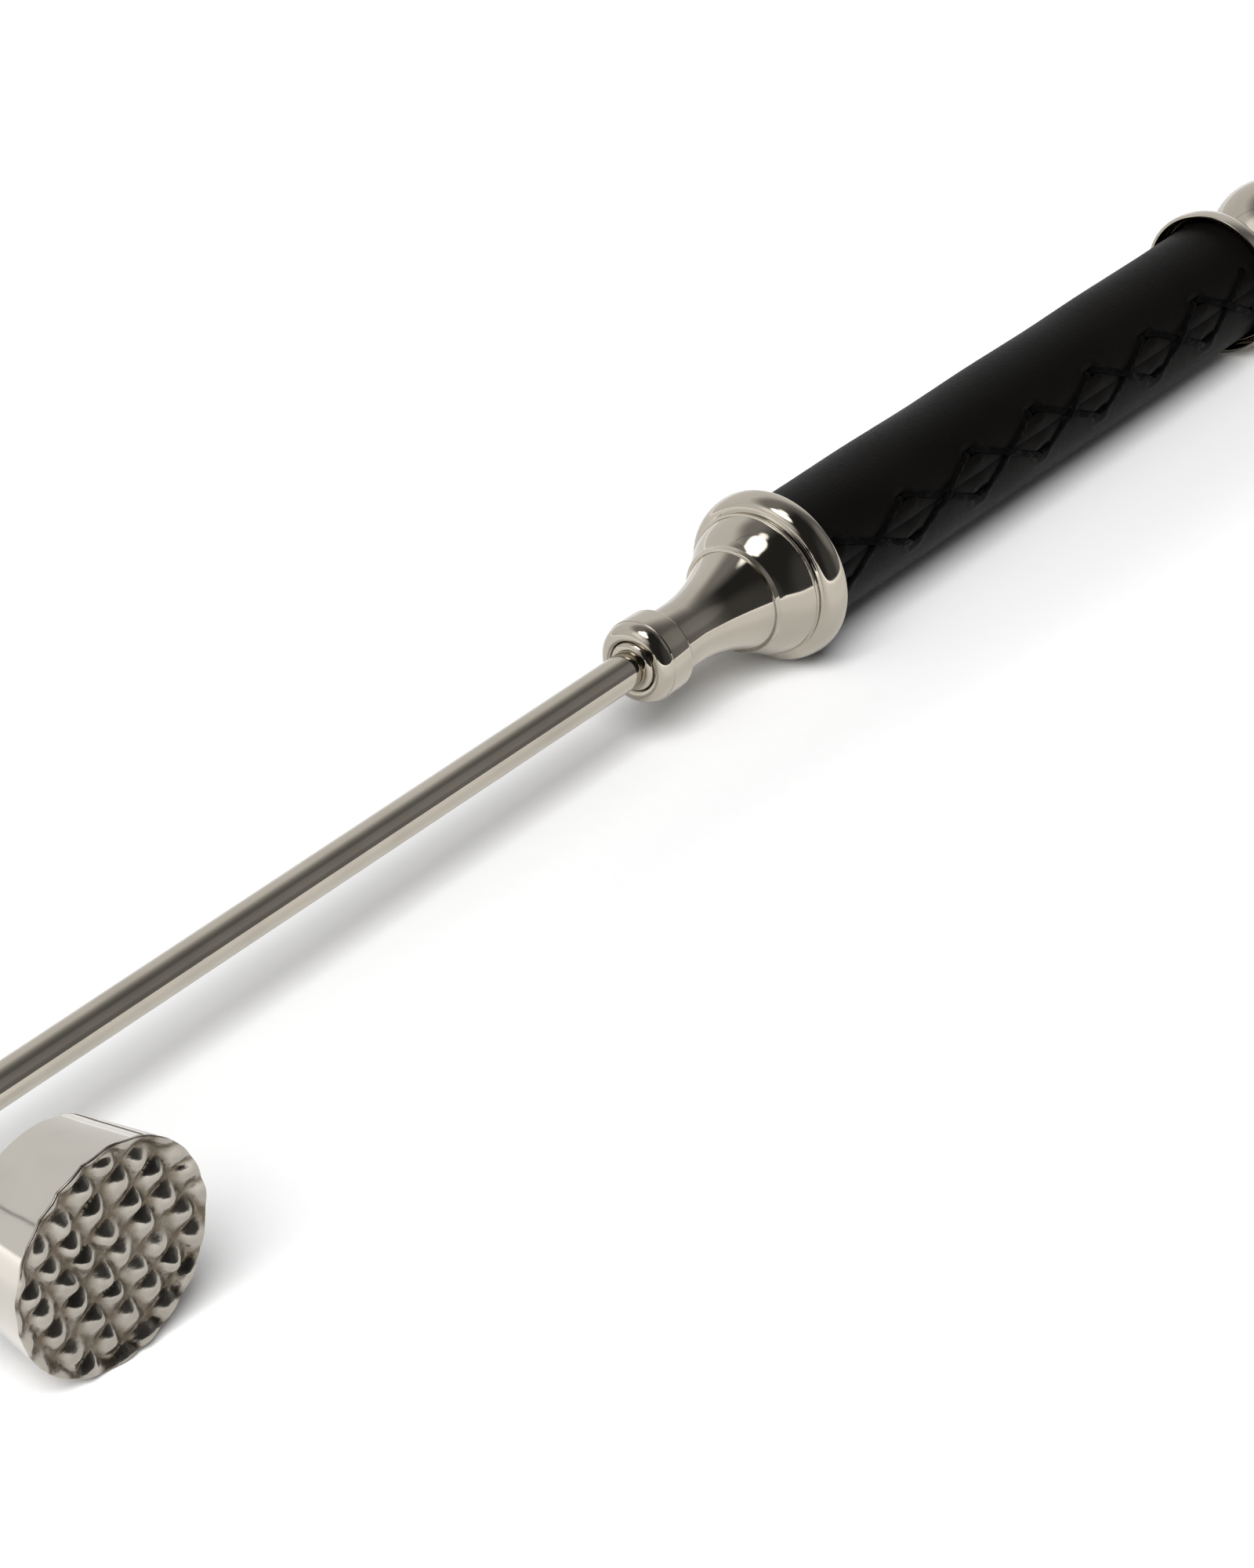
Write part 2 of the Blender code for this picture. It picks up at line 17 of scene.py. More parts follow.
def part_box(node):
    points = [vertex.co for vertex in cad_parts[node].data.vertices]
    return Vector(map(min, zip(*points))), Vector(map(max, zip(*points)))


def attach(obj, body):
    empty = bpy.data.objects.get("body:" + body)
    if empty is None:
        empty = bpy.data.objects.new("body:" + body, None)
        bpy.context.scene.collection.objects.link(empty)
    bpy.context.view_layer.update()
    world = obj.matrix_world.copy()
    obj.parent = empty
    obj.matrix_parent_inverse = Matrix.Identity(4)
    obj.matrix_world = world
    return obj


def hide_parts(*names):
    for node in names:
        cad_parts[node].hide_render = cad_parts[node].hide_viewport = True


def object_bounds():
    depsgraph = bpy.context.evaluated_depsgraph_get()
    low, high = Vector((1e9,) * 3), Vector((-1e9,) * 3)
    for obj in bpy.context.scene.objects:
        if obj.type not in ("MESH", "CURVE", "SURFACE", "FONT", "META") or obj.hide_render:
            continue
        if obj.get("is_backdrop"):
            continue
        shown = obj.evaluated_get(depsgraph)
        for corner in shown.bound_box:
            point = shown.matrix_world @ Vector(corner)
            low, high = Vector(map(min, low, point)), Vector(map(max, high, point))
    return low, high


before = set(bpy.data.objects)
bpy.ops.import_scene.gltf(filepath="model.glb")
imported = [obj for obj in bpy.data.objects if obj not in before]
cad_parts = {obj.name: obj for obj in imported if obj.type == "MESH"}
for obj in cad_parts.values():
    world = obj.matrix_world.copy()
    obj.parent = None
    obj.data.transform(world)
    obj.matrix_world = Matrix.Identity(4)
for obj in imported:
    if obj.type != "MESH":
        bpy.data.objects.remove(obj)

MM = 0.001


def in_mm(lengths):
    """Lengths in metres, as millimetres to print."""
    return [round(length / MM, 2) for length in lengths]


cad_box = [list(corner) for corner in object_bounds()]
print("Solids loaded:", len(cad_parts), "box in mm:", [in_mm(corner) for corner in cad_box])

# %% [markdown]
# ## The line of the handle
#
# Almost every piece is turned, so it is easiest to draw it along one straight line and lay it
# down afterwards. The tool rests on its head and on the rim of the dish at its far end, which
# tips that line a little. Two plain round solids inside the handle, the stud and the washer, lie
# on the line, so the middles of their boxes give it. Lengths are in millimetres from the axis of
# the head, called stations here.

# %% Measure the line
STUD_MIDDLE = 223.125  # station of the middle of the stud


def middle(node):
    """Middle of a solid's box."""
    low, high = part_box(node)
    return (Vector(low) + Vector(high)) / 2


along = (middle("cap_washer") - middle("tie_stud")).normalized()
across = Vector((0, 1, 0))
LAY = Matrix((along, across, along.cross(across))).transposed().to_4x4()
LAY.translation = middle("tie_stud") - along * STUD_MIDDLE * MM
print("Handle tips by", round(math.degrees(math.asin(-along.z)), 3), "degrees; head axis at",
      in_mm(LAY.translation))

# %% [markdown]
# ## Turning a piece
#
# A lathe piece is half a section spun round the line. By hand that is one vertex, extruded from
# point to point along the section, and then the Spin operator. Spin leaves a double row where
# the turn closes and many doubles on the axis, so they are merged and the normals are
# recalculated.
# Polished metal has no knife edges: each corner of the section is first rounded a little, which
# gives every edge its own thin line of light. That is cheaper and cleaner than a bevel on the
# spun mesh.

# %% Select and clean up
MERGE = 2e-6


def alone(piece=None):
    """Object mode, with nothing selected but this piece."""
    if bpy.context.mode != "OBJECT":
        bpy.ops.object.mode_set(mode="OBJECT")
    bpy.ops.object.select_all(action="DESELECT")
    if piece is not None:
        piece.select_set(True)
        bpy.context.view_layer.objects.active = piece


def cleaned(merge=0.0, fill=False):
    """Leave edit mode with doubles merged, holes filled and normals turned outwards."""
    bpy.ops.mesh.select_all(action="SELECT")
    if merge:
        bpy.ops.mesh.remove_doubles(threshold=merge)
    if fill:
        bpy.ops.mesh.fill_holes(sides=0)
    bpy.ops.mesh.normals_make_consistent(inside=False)
    bpy.ops.object.mode_set(mode="OBJECT")


print("Doubles on turned pieces are merged within", MERGE / MM, "mm")

# %% Draw a section and spin it
STRAIGHT = math.radians(155)  # a flatter corner is part of a curve
EASE_SHARE = 0.45             # a rounding takes at most this much of a side


def quarter(start, end, steep_first, steps=14):
    """Points of a quarter of an ellipse between two corners of a section, the start left out."""
    points = []
    for i in range(1, steps + 1):
        turn = math.pi / 2 * i / steps
        quick, slow = math.sin(turn), 1 - math.cos(turn)
        rise, run = (quick, slow) if steep_first else (slow, quick)
        points.append((start[0] + (end[0] - start[0]) * run,
                       start[1] + (end[1] - start[1]) * rise))
    return points


def eased(section, ease):
    """The section with each sharp corner rounded, as polishing does."""
    closed = section[0] == section[-1]
    corners = section[:-1] if closed else section
    points = []
    for i, here in enumerate(corners):
        corner = Vector(here)
        before = Vector(corners[i - 1]) - corner
        after = Vector(corners[(i + 1) % len(corners)]) - corner
        at_end = not closed and i in (0, len(corners) - 1)
        if at_end or before.angle(after) > STRAIGHT:
            points.append(tuple(here))
            continue
        reach = min(ease, before.length * EASE_SHARE, after.length * EASE_SHARE)
        start = corner + before.normalized() * reach
        end = corner + after.normalized() * reach
        for share in (0, 0.25, 0.5, 0.75, 1):
            bent = start * (1 - share) ** 2 + corner * 2 * share * (1 - share)
            points.append(tuple(bent + end * share ** 2))
    return points + points[:1] if closed else points


def turned(name, section, steps):
    """A section, drawn point by point as (station, radius), spun round the line of the handle."""
    alone()
    bpy.ops.mesh.primitive_circle_add(vertices=3, radius=MM)
    piece = bpy.context.object
    piece.name = piece.data.name = name
    bpy.ops.object.mode_set(mode="EDIT")
    bpy.ops.mesh.select_all(action="SELECT")
    bpy.ops.mesh.merge(type="CENTER")
    bpy.ops.transform.translate(value=(section[0][0] * MM, 0, section[0][1] * MM))
    for (x, r), (next_x, next_r) in zip(section, section[1:]):
        step = ((next_x - x) * MM, 0, (next_r - r) * MM)
        bpy.ops.mesh.extrude_region_move(TRANSFORM_OT_translate={"value": step})
    bpy.ops.mesh.select_all(action="SELECT")
    bpy.ops.mesh.spin(steps=steps, angle=math.tau, center=(0, 0, 0), axis=(1, 0, 0))
    cleaned(MERGE)
    return piece


print("Corners sharper than", round(math.degrees(STRAIGHT)), "degrees get rounded")

# %% Put a piece in its place
def placed(piece, node, finish, corner=40):
    """Lay a piece down with the tool, give it its finish, and let it stand for its solid."""
    alone(piece)
    piece.matrix_world = LAY @ piece.matrix_world
    bpy.ops.object.transform_apply(location=True, rotation=True, scale=True)
    bpy.ops.object.shade_smooth_by_angle(angle=math.radians(corner))
    piece.data.materials.clear()
    piece.data.materials.append(finish)
    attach(piece, "root")
    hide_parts(node)
    corners = [Vector(c) for c in piece.bound_box]
    low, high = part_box(node)
    off = in_mm(max(c[i] for c in corners) - high[i] for i in range(3))
    off += in_mm(min(c[i] for c in corners) - low[i] for i in range(3))
    print(piece.name, len(piece.data.polygons), "faces;",
          "mm off the solid's box, high then low:", off)


print("Every piece rides on the one rigid body")

# %% [markdown]
# ## Writing a finish
#
# A material is a small sum: noise here, a mask there, one mixed with the other. Written out node
# by node it is hard to read, so one class wraps a socket and lets plain arithmetic add the Math
# nodes. Any other node comes from its one method, which takes the node's type, its settings and
# its sockets.

# %% The class for node sums
MIX_MASK, MIX_FIRST, MIX_SECOND, MIX_RESULT = 0, 6, 7, 2  # sockets of a Mix node for colours


class Wire:
    """One socket of a node tree."""

    def __init__(self, tree, socket):
        self.tree = tree
        self.socket = socket

    def node(self, kind, settings=None, sockets=None, out=0):
        """A new node in the same tree. Its settings come first, then its values and links."""
        made = self.tree.nodes.new("ShaderNode" + kind)
        for name, value in (settings or {}).items():
            setattr(made, name, value)
        for name, value in (sockets or {}).items():
            if isinstance(value, Wire):
                self.tree.links.new(value.socket, made.inputs[name])
            else:
                made.inputs[name].default_value = value
        return Wire(self.tree, made.outputs[out])

    def sum(self, operation, a, b=0.0):
        """A Math node."""
        return self.node("Math", {"operation": operation}, {0: a, 1: b})

    def __add__(self, other):
        return self.sum("ADD", self, other)

    def __sub__(self, other):
        return self.sum("SUBTRACT", self, other)

    def __rsub__(self, other):
        return self.sum("SUBTRACT", other, self)

    def __mul__(self, other):
        return self.sum("MULTIPLY", self, other)

    def __abs__(self):
        return self.sum("ABSOLUTE", self)

    __radd__ = __add__
    __rmul__ = __mul__

    def scaled(self, x, y, z):
        """A vector, stretched along each axis."""
        return self.node("VectorMath", {"operation": "MULTIPLY"}, {0: self, 1: (x, y, z)})

    def dot(self, direction):
        """How far a vector goes along a direction."""
        return self.node("VectorMath", {"operation": "DOT_PRODUCT"}, {0: self, 1: direction},
                         out="Value")

    def noise(self, scale, detail=2.0, roughness=0.5):
        """Soft clouds of this many to the unit, from 0 to 1."""
        return self.node("TexNoise", None, {"Vector": self, "Scale": scale, "Detail": detail,
                                            "Roughness": roughness})

    def between(self, low, high):
        """0 below low, 1 above high, and a soft step between them."""
        return self.node("MapRange", {"interpolation_type": "SMOOTHSTEP"},
                         {"Value": self, "From Min": low, "From Max": high})

    def blend(self, first, second):
        """A colour from first to second, by this mask."""
        def colour(value):
            return value if isinstance(value, Wire) else (*value, 1.0)
        return self.node("Mix", {"data_type": "RGBA"},
                         {MIX_MASK: self, MIX_FIRST: colour(first), MIX_SECOND: colour(second)},
                         out=MIX_RESULT)


def new_finish(name):
    """A material, a wire of places on the piece in millimetres, and the shader to fill."""
    finish = bpy.data.materials.new(name)
    finish.use_nodes = True
    tree = finish.node_tree
    shader = tree.nodes["Principled BSDF"]
    place = Wire(tree, tree.nodes.new("ShaderNodeTexCoord").outputs["Object"])
    return finish, place.scaled(1 / MM, 1 / MM, 1 / MM), shader


def plug(wire, shader, socket):
    """Link a wire to one of the shader's sockets."""
    wire.tree.links.new(wire.socket, shader.inputs[socket])


def carve(height, shader):
    """Bump from a height in millimetres."""
    bump = height.node("Bump", None, {"Height": height, "Strength": 1.0, "Distance": MM})
    plug(bump, shader, "Normal")


print("Finishes are written as sums of wires")

# %% [markdown]
# ## Polished nickel
#
# The metal is nickel plate, a little warm beside chrome, polished but used: it mirrors the room
# with crisp edges, yet the plate is slightly wavy from polishing, carries hairline scratches, and
# has a faint haze where hands wipe it. A flat colour with one roughness would look like a new
# toy. The clouds are in millimetres on the piece, so they keep their size on every part.
# On the head, a mesh attribute darkens the face, most in the hollows: soil and painted shade.

# %% Nickel finish
NICKEL = (0.460, 0.420, 0.356)
NICKEL_PALE = (0.545, 0.515, 0.465)
# dark brown that the head's face is mixed towards: partly soil, partly painted shade in its
# valleys
NICKEL_SOIL_AND_SHADE = (0.13, 0.105, 0.075)
CLOUDED = 0.88
CLEAN_ROUGHNESS, SOIL_ROUGHNESS = 0.035, 0.30
WAVE_HEIGHT, HAIR_DEPTH, HAZE_HEIGHT, SOIL_HEIGHT = 0.012, 0.0006, 0.0006, 0.09
HEAD_SCRATCHES = (4.0, 0.5, 4.0)
ALONG_SCRATCHES = (0.25, 9.0, 9.0)
ROUND_SCRATCHES = (9.0, 0.6, 0.6)


def nickel(name, scratches, bright=NICKEL, soil_and_shade_attribute=None):
    """Polished nickel. Scratches are this many to the millimetre along each axis. An attribute,
    if named, is 1 in hollows and darkens the metal there with soil and painted shade."""
    finish, place, shader = new_finish(name)
    cloud = place.noise(0.09, 3.0).between(0.35, 0.75)
    haze = place.noise(0.6, 4.0, 0.6)
    hairs = place.scaled(*scratches).noise(1.0, 2.0).between(0.60, 0.72)
    colour = cloud.blend(bright, [value * CLOUDED for value in bright])
    rough = haze * 0.05 + cloud * 0.02 + hairs * 0.03 + CLEAN_ROUGHNESS
    height = place.noise(0.16, 1.0) * WAVE_HEIGHT + hairs * -HAIR_DEPTH + haze * HAZE_HEIGHT
    if soil_and_shade_attribute:
        soil_and_shade_mask = place.node("Attribute", {"attribute_name": soil_and_shade_attribute}, out="Fac")
        height = height + soil_and_shade_mask * place.noise(1.5, 4.0) * SOIL_HEIGHT
        # the colour is darkened by this mask: soil, and painted shade in the hollows between
        # bumps
        soil_and_shade_mask = soil_and_shade_mask * (place.noise(0.8, 3.0) * 0.8 + 0.6)
        colour = soil_and_shade_mask.sum("MINIMUM", soil_and_shade_mask, 1.0).blend(colour, NICKEL_SOIL_AND_SHADE)
        rough = rough + soil_and_shade_mask * SOIL_ROUGHNESS
    plug(colour, shader, "Base Color")
    plug(rough, shader, "Roughness")
    shader.inputs["Metallic"].default_value = 1.0
    carve(height, shader)
    return finish


head_nickel = nickel("head_nickel", HEAD_SCRATCHES, NICKEL_PALE, soil_and_shade_attribute="hollow")
rod_nickel = nickel("rod_nickel", ALONG_SCRATCHES)
ferrule_nickel = nickel("ferrule_nickel", ROUND_SCRATCHES)
finial_nickel = nickel("finial_nickel", ROUND_SCRATCHES)
print("Nickel for", [m.name for m in (head_nickel, rod_nickel, ferrule_nickel, finial_nickel)])

# %% [markdown]
# ## The crushing head
#
# A puck that widens towards its face, with a socketed boss behind it. Its face is covered by rows
# of cushion-shaped bumps with sharp valleys between them, as cast and then polished by hand, so
# no two are quite alike. Tiling one bump would show. Instead the whole puck is spun with a fine
# net on its face, and each vertex of the net sinks by the depth of the bump form at its place,
# with the rows bent a little. The side sinks with the rim, so the edge is scalloped where valleys
# run out.

# %% Spin the puck
BORE = 2.8
SOCKET_FLOOR, BOSS_END, BOSS_RADIUS = 23.9, 16.9, 4.5
HEAD_BACK, BACK_FLAT = 21.4, 11.8
SIDE_START, SIDE_START_RADIUS = 22.3, 12.85
HEAD_REACH, FACE_RADIUS = 33.94, 14.86
SIDE_STATIONS = (26.0, 28.5, 29.5, 30.3, 31.0, 31.6, 32.2, 32.7, 33.1, 33.4, 33.65)
FACE_EDGE = ((33.80, 0.07), (33.90, 0.17), (HEAD_REACH, 0.32))
NET = 64


def side_radius(station):
    """Radius of the puck's side."""
    share = (station - SIDE_START) / (HEAD_REACH - SIDE_START)
    return SIDE_START_RADIUS + (FACE_RADIUS - SIDE_START_RADIUS) * share


puck_section = [(SOCKET_FLOOR, 0.0), (SOCKET_FLOOR, BORE), (BOSS_END, BORE),
                (BOSS_END, BOSS_RADIUS), (HEAD_BACK, BOSS_RADIUS), (HEAD_BACK, BACK_FLAT)]
puck_section += quarter((HEAD_BACK, BACK_FLAT), (SIDE_START, SIDE_START_RADIUS), True, 8)
puck_section += [(station, side_radius(station)) for station in SIDE_STATIONS]
puck_section += [(station, FACE_RADIUS - inset) for station, inset in FACE_EDGE]
net_radius = puck_section[-1][1]
puck_section += [(HEAD_REACH, net_radius * (1 - i / NET)) for i in range(1, NET + 1)]
head = turned("crushing_head_piece", eased(puck_section, 0.15), steps=300)
print("Puck spun:", len(head.data.vertices), "vertices")

# %% The form of the bumps
BUMP_PITCH = 4.03
BUMP_TURN = math.radians(30)
BUMP_SHIFT = (0.26, -0.27)
BUMP_SEED = 4
ROW_BEND, ROW_BEND_SCALE, ROW_BEND_SLICE = 0.7, 0.16, 3.0  # rows wander this far, this often
OWN_STEP, OWN_SLICE = (1.37, 1.73), 7.3  # steps through the noise from bump to bump
LOWER_BY, LEAN_BY = 0.4, 0.5             # the most that a bump differs from a plain one
CUSHION, POINT = 0.85, 0.15              # shares of a flat and a steep form

noise.seed_set(BUMP_SEED)  # without a seed, noise vectors differ from run to run


def bump_form(y, z):
    """1 on the crown of a bump, 0 in the valleys round it."""
    bend = noise.noise_vector(Vector((y, z, ROW_BEND_SLICE)) * ROW_BEND_SCALE)
    cos, sin = math.cos(BUMP_TURN), math.sin(BUMP_TURN)
    s = (y * cos + z * sin + BUMP_SHIFT[0] + bend.x * ROW_BEND) / BUMP_PITCH
    t = (z * cos - y * sin + BUMP_SHIFT[1] + bend.y * ROW_BEND) / BUMP_PITCH
    row, column = math.floor(s), math.floor(t)
    own = noise.noise_vector(Vector((row * OWN_STEP[0], column * OWN_STEP[1], OWN_SLICE)))
    form = 1.0 - LOWER_BY * abs(own.z)
    for place, lean in ((s - row, own.x), (t - column, own.y)):
        cell = 2 * place - 1
        cell -= LEAN_BY * lean * (1 - cell * cell)
        form *= CUSHION * (1 - cell * cell) + POINT * math.cos(math.pi / 2 * cell) ** 2
    return form


print("Bumps", BUMP_PITCH, "mm apart")

# %% Sink the valleys
BUMP_DEPTH, RIM_DEPTH = 1.35, 0.32
SUNK_BAND, FULL_BAND = 4.5, 0.4  # the side sinks over this length, the end of it in full
RIM_INSET, RIM_RAMP = 0.2, 1.4   # the depth grows from the rim inwards
SIDE_WALL = 1.0                  # nearer to the rim than this, a vertex follows the side
# the face is darkened a little all over and more in the valleys, where it is soil and painted
# shade
FACE_DARKENING, VALLEY_SOIL_AND_SHADE, SOIL_AND_SHADE_LEVEL, SOIL_AND_SHADE_POWER = 0.42, 0.58, 0.5, 1.2


def clamped(value):
    """The value, held between 0 and 1."""
    return min(1.0, max(0.0, value))


hollow = head.data.attributes.new("hollow", "FLOAT", "POINT")
for vertex, mark in zip(head.data.vertices, hollow.data):
    x, y, z = [value / MM for value in vertex.co]
    weight = clamped((x - HEAD_REACH + SUNK_BAND) / (SUNK_BAND - FULL_BAND))
    if weight == 0:
        continue
    form = bump_form(y, z)
    radius = math.hypot(y, z)
    inside = clamped((FACE_RADIUS - RIM_INSET - radius) / RIM_RAMP)
    depth = RIM_DEPTH + (BUMP_DEPTH - RIM_DEPTH) * inside
    sunk = x - depth * (1 - form) * weight
    pull = 1.0
    if radius > FACE_RADIUS - SIDE_WALL:
        pull = (radius - side_radius(x) + side_radius(sunk)) / radius
    vertex.co = (sunk * MM, y * pull * MM, z * pull * MM)
    # how far the face is darkened: a little everywhere, most in valleys (soil and painted shade)
    if weight == 1:
        low = max(0.0, 1 - form / SOIL_AND_SHADE_LEVEL) ** SOIL_AND_SHADE_POWER
        mark.value = FACE_DARKENING + VALLEY_SOIL_AND_SHADE * low
print("Valleys sunk by up to", BUMP_DEPTH, "mm")

# %% Set the head on the end of the rod
HEAD_ANGLE = math.radians(95.5)

head.matrix_world = Matrix.Rotation(-HEAD_ANGLE, 4, "Z")
placed(head, "crushing_head", head_nickel, corner=60)

# %% [markdown]
# ## The bent rod
#
# Five-millimetre round bar: straight from the ferrule, bent near the head and screwed into its
# boss. A curve with a round bevel would do, but a ring that is extruded, spun round the bend and
# extruded again is what a bender does to the bar, and leaves clean quads.

# %% Extrude, bend, extrude
ROD_RADIUS, ROD_SIDES = 2.5, 72
BEND_RADIUS, BEND_STEPS = 12.0, 28
BEND_START = BEND_RADIUS / math.tan(HEAD_ANGLE / 2)
ROD_END, ROD_TIP = 152.0, 23.6
ROD_STATIONS = (ROD_END, 110.0, 60.0, BEND_START)

alone()
bpy.ops.mesh.primitive_circle_add(vertices=ROD_SIDES, radius=ROD_RADIUS * MM,
                                  location=(ROD_END * MM, 0, 0), rotation=(0, math.pi / 2, 0))
rod = bpy.context.object
rod.name = rod.data.name = "rod_piece"
bpy.ops.object.transform_apply(location=True, rotation=True, scale=True)
bpy.ops.object.mode_set(mode="EDIT")
bpy.ops.mesh.select_all(action="SELECT")
for last, station in zip(ROD_STATIONS, ROD_STATIONS[1:]):
    step = ((station - last) * MM, 0, 0)
    bpy.ops.mesh.extrude_region_move(TRANSFORM_OT_translate={"value": step})
bpy.ops.mesh.spin(steps=BEND_STEPS, angle=HEAD_ANGLE - math.pi,
                  center=(BEND_START * MM, -BEND_RADIUS * MM, 0), axis=(0, 0, 1))
head_way = Vector((math.cos(HEAD_ANGLE), -math.sin(HEAD_ANGLE), 0))
bpy.ops.mesh.extrude_region_move(
    TRANSFORM_OT_translate={"value": head_way * (ROD_TIP - BEND_START) * MM})
cleaned(MERGE, fill=True)
placed(rod, "rod", rod_nickel)

# %% [markdown]
# ## Bead and collar
#
# Where the rod enters the ferrule, a short collar closes the front. Its nose is a rounded ring,
# and a small bead that hugs the rod fills its mouth, so only a fine crease shows between bead,
# ring and rod. Both are plain lathe work.

# %% Turn the bead and the collar
BEAD_INSIDE, BEAD_OUTSIDE = 2.53, 3.35
BEAD_FRONT, BEAD_CREST, BEAD_BACK = 138.32, 138.95, 139.35
COLLAR_RADIUS = 5.65
COLLAR_MOUTH, COLLAR_BACK = 139.4, 144.5

bead_start = (BEAD_FRONT, BEAD_INSIDE)
bead_section = [bead_start] + quarter(bead_start, (BEAD_CREST, BEAD_OUTSIDE), True, 12)
bead_section += [(BEAD_BACK, BEAD_OUTSIDE), (BEAD_BACK, BEAD_INSIDE), bead_start]
bead = turned("rod_bead_piece", bead_section, steps=96)
placed(bead, "rod_bead", ferrule_nickel)

collar_section = [(COLLAR_MOUTH, BORE), (COLLAR_MOUTH, 3.40), (139.05, 3.42)]
collar_section += quarter((139.05, 3.42), (138.62, 4.0), False, 8)
collar_section += quarter((138.62, 4.0), (140.5, COLLAR_RADIUS - 0.12), True)
collar_section += [(140.56, COLLAR_RADIUS - 0.12), (140.62, COLLAR_RADIUS)]
collar_section += [(144.05, COLLAR_RADIUS)]
collar_section += quarter((144.05, COLLAR_RADIUS), (COLLAR_BACK, COLLAR_RADIUS - 0.4), False, 6)
collar_section += [(COLLAR_BACK, BORE), (COLLAR_MOUTH, BORE)]
collar = turned("collar_piece", eased(collar_section, 0.12), steps=128)
placed(collar, "collar", ferrule_nickel)

# %% [markdown]
# ## The bell ferrule and its rim
#
# The ferrule opens from a narrow neck in a trumpet curve, swells past a fine crease into a cup,
# and steps into the widest ring of the tool, the rim that closes over the end of the leather.
# The curve is a power of the distance: slow at the neck and quick at the mouth, as spun metal
# flows.

# %% Turn the bell
NECK_START, NECK_RADIUS = 144.8, 4.45
FLARE_START, FLARE_LENGTH, FLARE_RISE, FLARE_POWER = 149.0, 12.7, 3.2, 2.1
CUP_START, CUP_LENGTH = 161.7, 3.85
CUP_RADIUS, CUP_RISE, CUP_BULGE = 7.65, 2.1, 0.3
FLARE_STEPS, CUP_STEPS = 30, 16

bell_section = [(NECK_START, BORE), (NECK_START, NECK_RADIUS)]
for i in range(FLARE_STEPS + 1):
    share = i / FLARE_STEPS
    bell_section.append((FLARE_START + FLARE_LENGTH * share,
                         NECK_RADIUS + FLARE_RISE * share ** FLARE_POWER))
for i in range(1, CUP_STEPS + 1):
    share = i / CUP_STEPS
    bell_section.append((CUP_START + CUP_LENGTH * share,
                         CUP_RADIUS + CUP_RISE * share + CUP_BULGE * math.sin(math.pi * share)))
bell_section += [(165.55, 10.05), (166.05, 10.05), (166.25, 9.9), (166.25, 8.9), (168.25, 8.9),
                 (168.25, 7.4), (160.3, 7.4), (160.3, BORE), (NECK_START, BORE)]
bell = turned("bell_ferrule_piece", eased(bell_section, 0.12), steps=160)
placed(bell, "bell_ferrule", ferrule_nickel)

# %% Turn the rim
RIM_FRONT, RIM_CREST, RIM_BACK = 166.32, 169.2, 170.45
RIM_BORE, RIM_RADIUS = 9.2, 11.75

rim_section = [(RIM_FRONT, RIM_BORE), (RIM_FRONT, 9.95), (166.55, 10.3)]
rim_section += quarter((166.55, 10.3), (RIM_CREST, RIM_RADIUS), True)
rim_section += quarter((RIM_CREST, RIM_RADIUS), (RIM_BACK, 11.0), False, 8)
rim_section += [(RIM_BACK, RIM_BORE), (RIM_FRONT, RIM_BORE)]
rim = turned("ferrule_rim_piece", eased(rim_section, 0.12), steps=160)
placed(rim, "ferrule_rim", ferrule_nickel)

# %% [markdown]
# ## Black leather
#
# Thin smooth calf, dyed black and rubbed with wax: a fine pebble grain, soft creases round the
# handle, small pores, and a satin sheen that breaks up where hands polish it. The grain is a
# Voronoi pattern that clouds push out of line, about two cells to the millimetre.

# %% Leather finish
LEATHER_DYED = (0.0044, 0.0038, 0.0034)
LEATHER_HANDLED = (0.0030, 0.0026, 0.0023)
GRAIN_SCALE, GRAIN_PUSH = 1.9, 0.5
GRAIN_DEPTH, CREASE_HEIGHT, PORE_HEIGHT = 0.020, 0.02, 0.004


def black_leather():
    """Satin leather with a pebble grain."""
    finish, place, shader = new_finish("black_leather")
    push = place.node("TexNoise", None, {"Vector": place, "Scale": 1.1, "Detail": 2.0}, out=1)
    bent = place.node("VectorMath", {"operation": "ADD"},
                      {0: place, 1: push.scaled(GRAIN_PUSH, GRAIN_PUSH, GRAIN_PUSH)})
    pebbles = bent.node("TexVoronoi", {"feature": "SMOOTH_F1"},
                        {"Vector": bent, "Scale": GRAIN_SCALE, "Smoothness": 0.6})
    creases = place.scaled(0.9, 0.25, 0.25).noise(1.0, 4.0, 0.6)
    pores = place.noise(7.0, 2.0)
    handled = place.noise(0.055, 3.0).between(0.35, 0.70)
    plug(handled.blend(LEATHER_DYED, LEATHER_HANDLED), shader, "Base Color")
    plug(0.47 - handled * 0.06 + pebbles * 0.08 + creases * 0.05, shader, "Roughness")
    shader.inputs["Specular IOR Level"].default_value = 0.05
    carve(pebbles * -GRAIN_DEPTH + creases * CREASE_HEIGHT + pores * PORE_HEIGHT, shader)
    return finish


leather_finish = black_leather()
print("Leather written:", leather_finish.name)

# %% [markdown]
# ## The leather sleeve
#
# One strip of leather goes round the handle, and its two edges meet at the seam. It is modelled
# as it is cut: a flat grid, narrow squares near the edges where the form is fine. The lace slots
# are punched first by deleting the squares inside each slot and rounding what is left. Then the
# strip is wrapped round the handle, dimpled where a lace bites and pressed where the laces cross,
# and Solidify gives it the thickness of leather.

# %% Where the laces bite
LACE_FIRST, LACE_STEP, LACE_RATIO, LACE_COUNT = 172.65, 16.25, 0.955, 7
LACE_SPREAD, LACE_BITE = 3.0, 0.6


